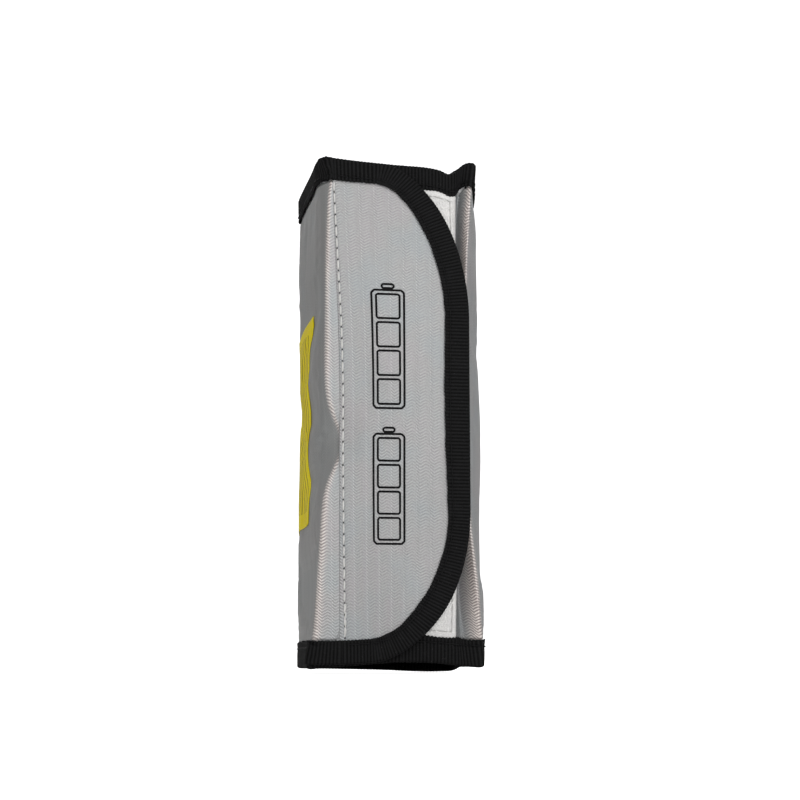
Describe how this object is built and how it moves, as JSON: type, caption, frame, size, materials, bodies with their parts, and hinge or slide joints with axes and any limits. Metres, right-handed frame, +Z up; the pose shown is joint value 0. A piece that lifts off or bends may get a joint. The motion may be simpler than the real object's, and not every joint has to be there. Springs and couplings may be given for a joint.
{
  "type": "battery safety bag",
  "caption": "Tall box-shaped fire-resistant fabric bag for lithium battery packs, with bound edges and a round-cornered side flap closed by hook-and-loop tape.",
  "frame": {"origin": "on the resting plane, under the middle of the whole closed bag", "axes": "+Z up along the bag's length, -Y out of the front with the flap, +X towards the flap's free edge, right-handed"},
  "size_m": [0.0624, 0.0776, 0.185],
  "materials": {
    "silver_cloth": "silver-coated glass cloth in a fine herringbone weave",
    "black_tape": "matt ribbed binding tape",
    "black_thread": "sewing thread",
    "white_thread": "sewing thread",
    "loop_pile": "soft loop pile",
    "hook_tape": "hook tape",
    "yellow_label": "plain printed film"
  },
  "bodies": {
    "bag": {"body_wrap": "silver_cloth", "top_end_panel": "silver_cloth", "bottom_end_panel": "silver_cloth", "top_end_binding": "black_tape", "bottom_end_binding": "black_tape", "top_binding_thread": "black_thread", "bottom_binding_thread": "black_thread", "loop_strip": "loop_pile", "loop_strip_thread": "white_thread", "side_label": "yellow_label"},
    "flap_root": {"hinge_strip": "silver_cloth", "hinge_binding_top": "black_tape", "hinge_binding_bottom": "black_tape"},
    "flap": {"flap_panel": "silver_cloth", "flap_binding": "black_tape", "flap_binding_thread": "black_thread", "flap_seam_thread": "white_thread", "hook_strip": "hook_tape", "hook_strip_thread": "white_thread"}
  },
  "joints": [
    {"name": "flap_fold", "type": "hinge", "parent": "bag", "child": "flap_root", "pos_m": [-0.0296, -0.03715, 0.0925], "axis": [0, 0, -1], "range_deg": [0, 170]},
    {"name": "seam_fold", "type": "hinge", "parent": "flap_root", "child": "flap", "pos_m": [-0.0232, -0.03715, 0.0925], "axis": [0, 0, -1], "range_deg": [0, 90]}
  ]
}
